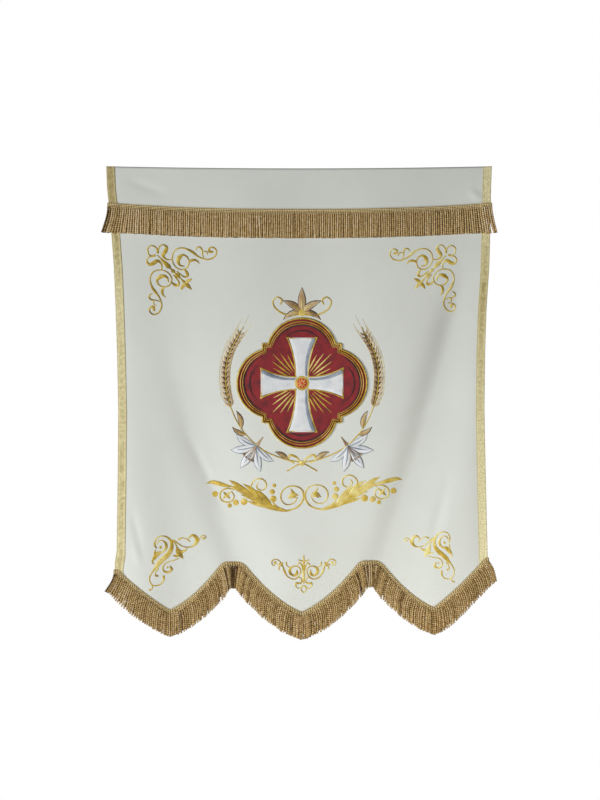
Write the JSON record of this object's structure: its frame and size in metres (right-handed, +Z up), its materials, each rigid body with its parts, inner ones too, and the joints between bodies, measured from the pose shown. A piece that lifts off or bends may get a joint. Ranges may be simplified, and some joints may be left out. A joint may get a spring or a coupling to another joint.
{
  "type": "church banner",
  "caption": "Hanging ivory church banner with gold side tapes, a fringed header, a three-pointed fringed lower edge and gold scroll embroidery.",
  "frame": {"origin": "middle of the banner's top edge, in the middle of the cloth's thickness", "axes": "+Z up, +X to the right as seen from the front, -Y out of the embroidered front"},
  "size_m": [0.9368, 0.0236, 1.104],
  "materials": {
    "ivory_cloth": "fine twill weave, matt with a slight sheen",
    "gold_tape": "woven galloon with a metallic gold thread",
    "beige_fringe": "twisted two-ply cord fringe, satin",
    "gold_thread": "satin-stitch embroidery in gold thread",
    "crimson_thread": "filling-stitch embroidery in crimson thread",
    "pale_thread": "filling-stitch embroidery in white and grey thread",
    "tan_thread": "satin-stitch embroidery in tan thread"
  },
  "bodies": {
    "root": {"panel": "ivory_cloth", "galloon_left": "gold_tape", "galloon_right": "gold_tape", "fringe_top": "beige_fringe", "fringe_hem": "beige_fringe"}
  },
  "joints": []
}
